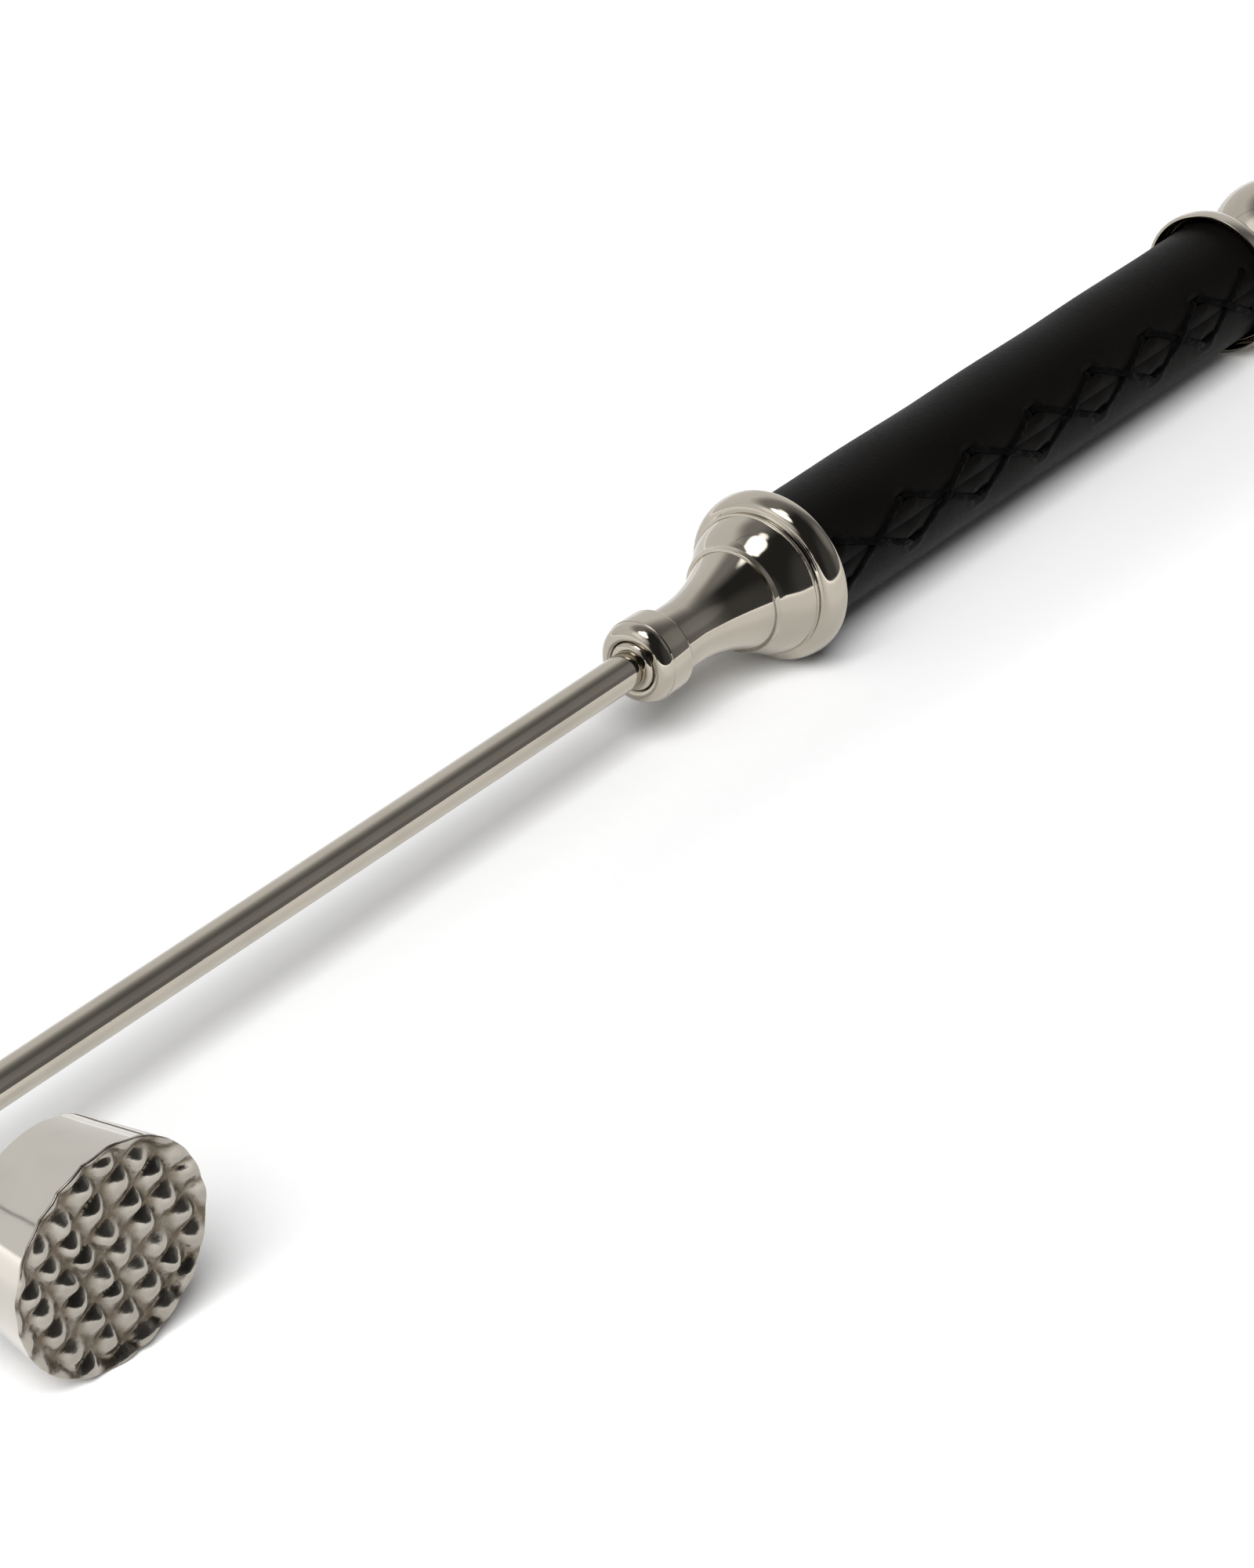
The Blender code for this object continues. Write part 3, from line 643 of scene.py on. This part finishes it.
def stops(side):
    """Station and side of each bite of a lace. Each step is a little shorter than the last."""
    stations = [LACE_FIRST + LACE_STEP * (1 - LACE_RATIO ** i) / (1 - LACE_RATIO)
                for i in range(LACE_COUNT + 1)]
    return [(x, side * (-1) ** i) for i, x in enumerate(stations)]


slots = []
for lace_side in (1, -1):
    bites = stops(lace_side)
    for x, sign in bites:
        start = x + LACE_BITE if x == bites[0][0] else x - LACE_BITE
        end = x - LACE_BITE if x == bites[-1][0] else x + LACE_BITE
        slots.append((start, end, sign * LACE_SPREAD))
bite_stations = [x for x, _ in stops(1)]
crossings = [(a + b) / 2 for a, b in zip(bite_stations, bite_stations[1:])]
print(len(slots), "slots,", len(crossings), "crossings")

# %% Cut the strip
GRIP_RADIUS = 8.75
GIRTH = math.tau * GRIP_RADIUS
LEATHER_START, LEATHER_END = 168.55, 275.55
SEAM_GAP = 0.06
GRID_ALONG, GRID_ROUND, GRID_CROWDING = 290, 120, 0.78

alone()
bpy.ops.mesh.primitive_grid_add(x_subdivisions=GRID_ALONG, y_subdivisions=GRID_ROUND, size=1.0)
sleeve = bpy.context.object
sleeve.name = sleeve.data.name = "leather_sleeve_piece"
for vertex in sleeve.data.vertices:
    share = vertex.co.y + 0.5
    share -= GRID_CROWDING * math.sin(math.tau * share) / math.tau
    vertex.co.x = LEATHER_START + (LEATHER_END - LEATHER_START) * (vertex.co.x + 0.5)
    vertex.co.y = SEAM_GAP / 2 + (GIRTH - SEAM_GAP) * share
print("Strip of", round(LEATHER_END - LEATHER_START, 1), "by", round(GIRTH, 1), "mm cut")

# %% Punch the slots
SLOT_RADIUS, SLOT_RAGGED = 0.57, 0.45


def from_seam(y):
    """Distance round the grip from the seam, minus on its lower side."""
    return y if y < GIRTH / 2 else y - GIRTH


def from_slot(x, y, slot):
    """Nearest place on the middle line of a slot, and the way from there."""
    start, end, side = slot
    near = min(max(x, start), end)
    return Vector((near, side)), Vector((x - near, y - side))


bpy.ops.object.mode_set(mode="EDIT")
net = bmesh.from_edit_mesh(sleeve.data)
for face in net.faces:
    spot = face.calc_center_median()
    ways = [from_slot(spot.x, from_seam(spot.y), slot)[1] for slot in slots]
    face.select_set(min(way.length for way in ways) < SLOT_RADIUS)
bpy.ops.mesh.delete(type="FACE")
net = bmesh.from_edit_mesh(sleeve.data)
for vertex in net.verts:
    if not vertex.is_boundary:
        continue
    for slot in slots:
        near, spoke = from_slot(vertex.co.x, from_seam(vertex.co.y), slot)
        if 0 < spoke.length < SLOT_RADIUS + SLOT_RAGGED:
            edge = near + spoke.normalized() * SLOT_RADIUS
            vertex.co.x, vertex.co.y = edge.x, edge.y % GIRTH
bmesh.update_edit_mesh(sleeve.data)
bpy.ops.object.mode_set(mode="OBJECT")
print("Strip punched:", len(sleeve.data.polygons), "faces left")

# %% The form of the leather
SWELL, SWELL_LENGTH, SWELL_POWER = 0.35, 75, 1.5
WAVE, WAVE_ALONG, WAVE_ROUND, SETTLED = 0.10, 0.07, 0.10, 0.03
GROOVE, GROOVE_WIDTH = 0.07, 0.8
BULGE, BULGE_LENGTH, BULGE_PLACE, BULGE_WIDTH = 0.24, 3.2, 1.0, 0.9
PRESS, PRESS_WIDTH = 0.16, 1.8
DIMPLE, DIMPLE_WIDTH = 0.30, 0.95
LIP, LIP_PLACE, LIP_WIDTH = 0.12, 1.5, 0.5
BITE_REACH, CROSSING_REACH, SLOT_REACH = 8, 7, 4  # further off, a form has died away


def hump(apart, width):
    """1 in the middle, dying away over this width."""
    return math.exp(-(apart / width) ** 2)


def swell(x):
    """The grip is a little fuller towards the ferrule."""
    return SWELL * max(0.0, 1 - (x - LEATHER_START) / SWELL_LENGTH) ** SWELL_POWER


def leather_height(x, y):
    """How far the outside of the leather stands off its plain round form."""
    height = WAVE * noise.noise(Vector((x * WAVE_ALONG, y * WAVE_ROUND, 1.0))) - SETTLED
    height += swell(x) - GROOVE * max(0.0, 1 - abs(y) / GROOVE_WIDTH) ** 2
    for bite in bite_stations:
        if abs(x - bite) < BITE_REACH:
            height += (BULGE * hump(x - bite, BULGE_LENGTH)
                       * hump(abs(y) - BULGE_PLACE, BULGE_WIDTH))
    for cross in crossings:
        if abs(x - cross) < CROSSING_REACH:
            height -= PRESS * hump(x - cross, PRESS_WIDTH) * hump(y, PRESS_WIDTH)
    for slot in slots:
        apart = from_slot(x, y, slot)[1].length
        if apart < SLOT_REACH:
            height -= DIMPLE * hump(apart, DIMPLE_WIDTH)
            height += LIP * hump(apart - LIP_PLACE, LIP_WIDTH)
    return height


print("Leather", round(leather_height(LEATHER_START, GIRTH / 4), 2), "mm full at the ferrule")

# %% Wrap it round the handle
LEATHER_THICKNESS = 1.35
SEAM_ANGLE = math.radians(17)
END_FADE = 2.5


def around(x, y, height):
    """A place on the unrolled leather, taken round the handle."""
    turn = SEAM_ANGLE + y / GRIP_RADIUS
    radius = GRIP_RADIUS + height
    return Vector((x, -radius * math.cos(turn), radius * math.sin(turn))) * MM


for vertex in sleeve.data.vertices:
    x, y = vertex.co.x, vertex.co.y
    fade = clamped(min(x - LEATHER_START, LEATHER_END - x) / END_FADE)
    vertex.co = around(x, y, leather_height(x, from_seam(y)) * fade)
alone(sleeve)
bpy.ops.object.mode_set(mode="EDIT")
cleaned()
outward = sum(face.normal.dot(Vector((0, face.center.y, face.center.z)).normalized())
              for face in sleeve.data.polygons)
wall = sleeve.modifiers.new("leather thickness", "SOLIDIFY")
wall.thickness = LEATHER_THICKNESS * MM
wall.offset = -1 if outward > 0 else 1
bpy.ops.object.modifier_apply(modifier=wall.name)
placed(sleeve, "leather_sleeve", leather_finish, corner=50)

# %% [markdown]
# ## The waxed laces
#
# Two flat black laces zigzag from side to side of the seam and cross over it, one always on top.
# Each dives into a slot, runs a short way under the leather and comes up again. The route is
# drawn on the unrolled leather as a curve with a round bevel, made a mesh, pressed flat, and
# wrapped like the leather. Each vertex keeps its place along and round the lace, so that the
# finish can twist its strands along it.

# %% Thread finish
THREAD_DARK = (0.0008, 0.0008, 0.0008)
THREAD_FLUFF = (0.0026, 0.0024, 0.0022)
STRANDS, STRAND_TWIST = 4.0, 4.2
STRAND_HEIGHT, FUZZ_HEIGHT = 0.016, 0.03


def waxed_thread():
    """Twisted thread, dull where it is fuzzy and smoother where wax lies on it."""
    finish, place, shader = new_finish("waxed_thread")
    lay = place.node("Attribute", {"attribute_name": "lay"}, out="Vector")
    parts = lay.node("SeparateXYZ", None, {0: lay})
    axes = parts.socket.node.outputs
    turn = parts.sum("ARCTAN2", Wire(parts.tree, axes["Y"]), Wire(parts.tree, axes["X"]))
    run = Wire(parts.tree, axes["Z"])
    strands = turn.sum("SINE", turn * STRANDS + run * STRAND_TWIST)
    fuzz = place.noise(5.0, 4.0, 0.7)
    wax = place.noise(0.7, 2.0).between(0.4, 0.65)
    plug((fuzz * 0.7 + wax * 0.3).blend(THREAD_DARK, THREAD_FLUFF), shader, "Base Color")
    plug(0.66 - wax * 0.24 + fuzz * 0.14, shader, "Roughness")
    shader.inputs["Specular IOR Level"].default_value = 0.035
    carve(strands * STRAND_HEIGHT + fuzz * FUZZ_HEIGHT, shader)
    return finish


thread_finish = waxed_thread()
print("Thread written:", thread_finish.name)

# %% Route of a lace
LACE_LOW, LACE_INSIDE, LACE_CORNER = 0.12, -1.9, 0.45
LACE_POINTS = 24
CROSSING_LENGTH = 3.0


def lace_route(side, lift):
    """Points (station, distance from the seam, height) that a lace follows, bite by bite. At a
    crossing it is lifted. It starts and ends under the leather."""
    route = []
    bites = stops(side)
    above, below = LACE_LOW - LACE_CORNER, LACE_INSIDE + LACE_CORNER
    for i, (x, sign) in enumerate(bites):
        y = sign * LACE_SPREAD
        a, b = x - LACE_BITE, x + LACE_BITE
        bite = [(a - LACE_CORNER, y, LACE_LOW), (a, y, above), (a, y, below),
                (a + LACE_CORNER, y, LACE_INSIDE), (b - LACE_CORNER, y, LACE_INSIDE),
                (b, y, below), (b, y, above), (b + LACE_CORNER, y, LACE_LOW)]
        if route:
            start, end = Vector(route[-1]), Vector(bite[0])
            length = (end - start).length
            for step in range(1, LACE_POINTS):
                share = step / LACE_POINTS
                point = start.lerp(end, share)
                near = min(1.0, abs(share - 0.5) * length / CROSSING_LENGTH)
                press = math.cos(math.pi / 2 * near) ** 2
                route.append((point.x, point.y, LACE_LOW + lift * press))
        first = 3 if i == 0 else 0
        last = 5 if i == len(bites) - 1 else len(bite)
        route += bite[first:last]
    return route


print("A lace is drawn through", len(lace_route(1, 0.0)), "points")

# %% Draw, flatten and wrap the laces
LACE_WIDTH, LACE_THICKNESS, LACE_SIDES = 0.95, 0.5, 12
LACE_MERGE = 1e-6
LIFTED, PRESSED = 0.40, -0.06


def lace(name, side, lift):
    """One lace, from its route to a flat strand that lies on the leather."""
    route = lace_route(side, lift)
    flat = LACE_THICKNESS / LACE_WIDTH
    alone()
    bpy.ops.curve.primitive_nurbs_path_add()
    curve = bpy.context.object.data
    curve.splines.clear()
    line = curve.splines.new("POLY")
    line.points.add(len(route) - 1)
    for point, (x, y, height) in zip(line.points, route):
        point.co = (x, y, height / flat, 1.0)
    curve.dimensions = "3D"
    curve.twist_mode = "Z_UP"
    curve.bevel_depth = LACE_WIDTH / 2
    curve.bevel_resolution = LACE_SIDES // 2 - 2
    curve.use_fill_caps = True
    bpy.ops.object.convert(target="MESH")
    piece = bpy.context.object
    piece.name = piece.data.name = name
    ring = len(piece.data.vertices) // len(route)
    lay = piece.data.attributes.new("lay", "FLOAT_VECTOR", "POINT")
    run, last = 0.0, Vector(route[0])
    for i, (vertex, mark) in enumerate(zip(piece.data.vertices, lay.data)):
        step, place = divmod(i, ring)
        here = Vector(route[min(step, len(route) - 1)])
        run, last = run + (here - last).length, here
        turn = math.tau * place / ring
        mark.vector = (math.cos(turn), math.sin(turn), run)
        x, y, height = vertex.co
        vertex.co = around(x, y, height * flat + swell(x))
    bpy.ops.object.mode_set(mode="EDIT")
    cleaned(LACE_MERGE)
    print(name, "ring of", ring, "length", round(run, 1), "mm")
    return piece


for lace_name, lace_side, lace_lift in (("lace_over", 1, LIFTED), ("lace_under", -1, PRESSED)):
    strand = lace(lace_name + "_piece", lace_side, lace_lift)
    placed(strand, lace_name, thread_finish, corner=80)

# %% [markdown]
# ## Dish, ring and ball
#
# A thin-rimmed dish covers the rear end of the leather, with a dark gap inside its rim. Behind it
# a small ring with a rounded outside carries the polished ball that closes the tool. All three
# are turned.

# %% Turn the dish
DISH_FRONT, DISH_FLOOR, DISH_BACK = 274.25, 277.45, 279.55
DISH_LIP, DISH_RADIUS = 9.95, 10.4

dish_section = [(DISH_FRONT, DISH_LIP), (DISH_FRONT, DISH_RADIUS), (275.25, DISH_RADIUS)]
dish_section += quarter((275.25, DISH_RADIUS), (DISH_BACK, 5.2), False, 24)
dish_section += [(DISH_BACK, BORE), (DISH_FLOOR, BORE), (DISH_FLOOR, 8.7)]
dish_section += quarter((DISH_FLOOR, 8.7), (276.1, 9.75), True, 8)
dish_section += [(DISH_FRONT, DISH_LIP)]
dish = turned("end_cap_piece", eased(dish_section, 0.1), steps=160)
placed(dish, "end_cap", finial_nickel)

# %% Turn the ring
RING_FRONT, RING_MIDDLE, RING_BACK = 279.85, 281.25, 282.65
RING_WALL, RING_ROUND, RING_RISE = 4.5, 4.6, 1.0
ARC_START, ARC_SWEEP, ARC_STEPS = 0.97, 0.94, 16  # in half turns

ring_section = [(RING_FRONT, BORE), (RING_FRONT, RING_WALL)]
for i in range(ARC_STEPS + 1):
    swing = math.pi * (ARC_START - ARC_SWEEP * i / ARC_STEPS)
    ring_section.append((RING_MIDDLE + (RING_BACK - RING_MIDDLE) * math.cos(swing),
                         RING_ROUND + RING_RISE * math.sin(swing)))
ring_section += [(RING_BACK, RING_WALL), (RING_BACK, BORE), (RING_FRONT, BORE)]
finial_ring = turned("finial_ring_piece", eased(ring_section, 0.08), steps=128)
placed(finial_ring, "finial_ring", finial_nickel)

# %% Turn the ball
BALL_STATION, BALL_RADIUS, BALL_STEPS = 290.97, 9.2, 60
BALL_FRONT, BALL_SEAT, BALL_SOCKET = 282.95, 4.5, 294.25

seat_turn = math.asin(BALL_SEAT / BALL_RADIUS)
ball_section = [(BALL_SOCKET, 0.0), (BALL_SOCKET, BORE), (BALL_FRONT, BORE),
                (BALL_FRONT, BALL_SEAT)]
for i in range(1, BALL_STEPS):
    swing = seat_turn + (math.pi - seat_turn) * i / BALL_STEPS
    ball_section.append((BALL_STATION - BALL_RADIUS * math.cos(swing),
                         BALL_RADIUS * math.sin(swing)))
ball_section.append((BALL_STATION + BALL_RADIUS, 0.0))
ball = turned("finial_ball_piece", eased(ball_section, 0.1), steps=160)
placed(ball, "finial_ball", finial_nickel)

# %% [markdown]
# ## What holds it together inside
#
# The wooden core, the steel stud and the fibre washer can't be seen in the finished tool, and
# their solids are already right, so they stay. Each still gets its own finish, because a part may
# be opened up or cut through in another picture.

# %% Finishes inside the handle
BEECH_PALE, BEECH_DARK = (0.52, 0.35, 0.20), (0.36, 0.22, 0.11)
STEEL_DARK, STEEL_PALE = (0.42, 0.42, 0.43), (0.50, 0.50, 0.51)
FIBRE_DARK, FIBRE_PALE = (0.13, 0.06, 0.035), (0.24, 0.13, 0.08)
BEECH_RINGS = 9.0


def beech():
    """Turned wood, with rings along the dowel and short flecks."""
    finish, place, shader = new_finish("turned_beech")
    rings = place.scaled(0.02, 0.5, 0.5).noise(1.0, 3.0)
    rings = rings.sum("FRACT", rings * BEECH_RINGS)
    flecks = place.scaled(0.6, 4.0, 4.0).noise(1.0, 2.0).between(0.62, 0.75)
    plug((rings * 0.6 + flecks * 0.4).blend(BEECH_PALE, BEECH_DARK), shader, "Base Color")
    plug(0.55 + rings * 0.12, shader, "Roughness")
    carve(rings * 0.02 + flecks * 0.02, shader)
    return finish


def plain_steel():
    """Drawn bar, with fine lines along it."""
    finish, place, shader = new_finish("plain_steel")
    drawn = place.scaled(0.1, 8.0, 8.0).noise(1.0, 3.0)
    plug(drawn.blend(STEEL_DARK, STEEL_PALE), shader, "Base Color")
    plug(0.22 + drawn * 0.16, shader, "Roughness")
    shader.inputs["Metallic"].default_value = 1.0
    carve(drawn * 0.004, shader)
    return finish


def pressed_fibre():
    """Brown board, with fibres that lie flat."""
    finish, place, shader = new_finish("pressed_fibre")
    fibres = place.scaled(6.0, 1.2, 1.2).noise(1.0, 4.0, 0.7)
    plug(fibres.blend(FIBRE_DARK, FIBRE_PALE), shader, "Base Color")
    plug(0.7 + fibres * 0.15, shader, "Roughness")
    carve(fibres * 0.03, shader)
    return finish


for node_name, inner_finish in (("handle_core", beech()), ("tie_stud", plain_steel()),
                                ("cap_washer", pressed_fibre())):
    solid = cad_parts[node_name]
    solid.data.materials.clear()
    solid.data.materials.append(inner_finish)
    print(node_name, "keeps its solid, in", inner_finish.name)

# %% [markdown]
# ## Table, light and camera
#
# The tool lies on white paper in a studio. Polished metal is nothing but what it mirrors, so the
# room is drawn as a soft gradient by direction: a bright wall behind with a dark line at its
# corner, a lit panel on the left, a grey glow on the right, two small soft lamps above, and near
# darkness on the photographer's side.
# A wall that bright would also flood the paper and wash out the shadows, so only mirrors see the
# room, and two softboxes that mirrors don't see light the paper: a long one above, in front and
# to the left, which draws the line of shadow beside the rod, and a weaker one further off on the
# left. Away from the tool the paper is lifted to white for the camera and for mirrors alike, and
# near it shadows stay.

# %% White paper
PAPER_SIZE = 8.0
PAPER_PALE, PAPER_TOOTH = (0.91, 0.91, 0.91), (0.89, 0.89, 0.89)
LIFT_NEAR, LIFT_AROUND, LIFT_FAR = 0.02, 0.20, 0.60
TOOL_LINE, BESIDE, BEYOND = 4.0, (8, 36), (165, 210)  # the lift grows between two distances
HEAD_SPOT, HEAD_ROUND = (-128, -14, 0), (22, 52)
FAR_OFF = (100, 500)


def white_paper():
    """Dull paper that glows a little away from the tool, where rays that are seen meet it."""
    finish, place, shader = new_finish("white_paper")
    tooth = place.noise(0.4, 3.0)
    plug(tooth.blend(PAPER_PALE, PAPER_TOOTH), shader, "Base Color")
    shader.inputs["Roughness"].default_value = 0.9
    shader.inputs["Specular IOR Level"].default_value = 0.0
    path = place.node("LightPath")
    rays = path.socket.node.outputs
    seen = Wire(path.tree, rays["Is Camera Ray"]) + Wire(path.tree, rays["Is Glossy Ray"])
    seen = (seen + Wire(path.tree, rays["Is Transmission Ray"])).between(0.0, 1.0)
    aside = abs(place.dot((0, 1, 0)) - TOOL_LINE).between(*BESIDE)
    ahead = abs(place.dot((1, 0, 0))).between(*BEYOND)
    from_head = place.node("VectorMath", {"operation": "DISTANCE"}, {0: place, 1: HEAD_SPOT},
                           out="Value")
    # the paper's glow is painted light: none along the tool and round the head, so shade there
    # stays dark
    clear = (1 - (1 - aside) * (1 - ahead)) * from_head.between(*HEAD_ROUND)
    far = place.node("VectorMath", {"operation": "LENGTH"}, {0: place}, out="Value")
    lift = clear * LIFT_AROUND + far.between(*FAR_OFF) * LIFT_FAR + LIFT_NEAR
    plug((seen * lift).blend((0, 0, 0), (1, 1, 1)), shader, "Emission Color")
    shader.inputs["Emission Strength"].default_value = 1.0
    return finish


alone()
bpy.ops.mesh.primitive_plane_add(size=PAPER_SIZE)
paper = bpy.context.object
paper.name = paper.data.name = "paper"
paper.data.materials.append(white_paper())
paper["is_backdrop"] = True
print("Paper laid")

# %% The room as a gradient
WALL_LEVEL, PANEL_LEVEL, LEFT_LAMP_LEVEL, TOP_LAMP_LEVEL = 0.92, 0.50, 3.6, 2.4
RIGHT_LEVEL, WINDOW_LEVEL, FRONT_LEVEL, ROOM_LEVEL = 0.17, 0.11, 0.05, 0.03
CEILING_SHADE, CORNER_SHADE = 0.70, 0.6

world = bpy.data.worlds.new("studio")
bpy.context.scene.world = world
world.use_nodes = True
world.cycles_visibility.diffuse = False
sky = world.node_tree
way = Wire(sky, sky.nodes.new("ShaderNodeTexCoord").outputs["Generated"])
back = way.dot((0, 1, 0)).between(-0.15, 0.35)
top = way.dot((0.10, 0, 1)).between(0.62, 0.88)
right = way.dot((1, 0, 0)).between(0.35, 0.75)
window = way.dot((0.68, -0.51, 0.52)).between(0.93, 0.985)
front = way.dot((0.35, -0.93, 0.10)).between(0.60, 0.95)
left_panel = way.dot((-0.72, 0.20, 0.66)).between(0.90, 0.97)
left_lamp = way.dot((-0.33, 0.12, 0.94)).between(0.965, 0.986)
top_lamp = way.dot((-0.03, 0.10, 0.99)).between(0.984, 0.996)
corner = abs(way.dot((0.93, 0.37, 0))).between(0.004, 0.014)
back_wall = back * (corner * CORNER_SHADE + (1 - CORNER_SHADE)) * (1 - top * CEILING_SHADE)
lamps = left_panel * PANEL_LEVEL + left_lamp * LEFT_LAMP_LEVEL + top_lamp * TOP_LAMP_LEVEL
glow = right * RIGHT_LEVEL + window * WINDOW_LEVEL + front * FRONT_LEVEL
room = back_wall * WALL_LEVEL + lamps + glow * (1 - back) + ROOM_LEVEL
plug(room, sky.nodes["Background"], "Strength")
sky.nodes["Background"].inputs["Color"].default_value = (1, 1, 1, 1)
print("Room drawn for the mirrors")

# %% Soft lights
def soft_light(name, way, distance, width, depth, power):
    """A softbox that looks at the middle of the table from a direction, its width along the
    tool. Neither the camera nor mirrors see it."""
    away = Vector(way).normalized()
    wide = (Vector((1, 0, 0)) - away * away.x).normalized()
    facing = Matrix((wide, away.cross(wide), away)).transposed().to_euler()
    place = away * distance
    alone()
    bpy.ops.object.light_add(type="AREA", location=place, rotation=facing)
    light = bpy.context.object
    light.name = light.data.name = name
    light.data.shape = "RECTANGLE"
    light.data.size, light.data.size_y = width, depth
    light.data.energy = power
    light.visible_camera = light.visible_glossy = False
    print(name, "at", [round(value, 2) for value in place])


soft_light("long_light", (-0.58, -0.30, 0.76), distance=1.5, width=1.3, depth=0.8, power=30.5)
soft_light("left_light", (-0.68, 0.10, 0.70), distance=2.0, width=1.3, depth=1.1, power=9.0)

# %% Camera
CAMERA_PLACE = (-0.6495, -0.4767, 0.4896)
CAMERA_WAY = Vector((0.68098, 0.51495, -0.52067)).normalized()
CAMERA_ROLL = math.radians(0.577)
SENSOR, LENS = 36.0, 169.2
NEAREST, FURTHEST = 0.05, 50

alone()
bpy.ops.object.camera_add(location=CAMERA_PLACE)
camera = bpy.context.object
camera.name = "camera"
level = CAMERA_WAY.to_track_quat("-Z", "Y").to_matrix()
camera.rotation_euler = (Matrix.Rotation(CAMERA_ROLL, 3, CAMERA_WAY) @ level).to_euler()
camera.data.sensor_width = SENSOR
camera.data.lens = LENS
camera.data.clip_start, camera.data.clip_end = NEAREST, FURTHEST
bpy.context.scene.camera = camera
bpy.context.scene.view_settings.view_transform = "Standard"
print("Camera looks along", [round(value, 3) for value in CAMERA_WAY])

# %% [markdown]
# ## Close
#
# The size of the dressed tool is printed, as the size of the solids was at the start.

# %% Print the size of the dressed tool
new_box = [list(corner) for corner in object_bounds()]
print("Box of the dressed tool in mm:", [in_mm(corner) for corner in new_box])
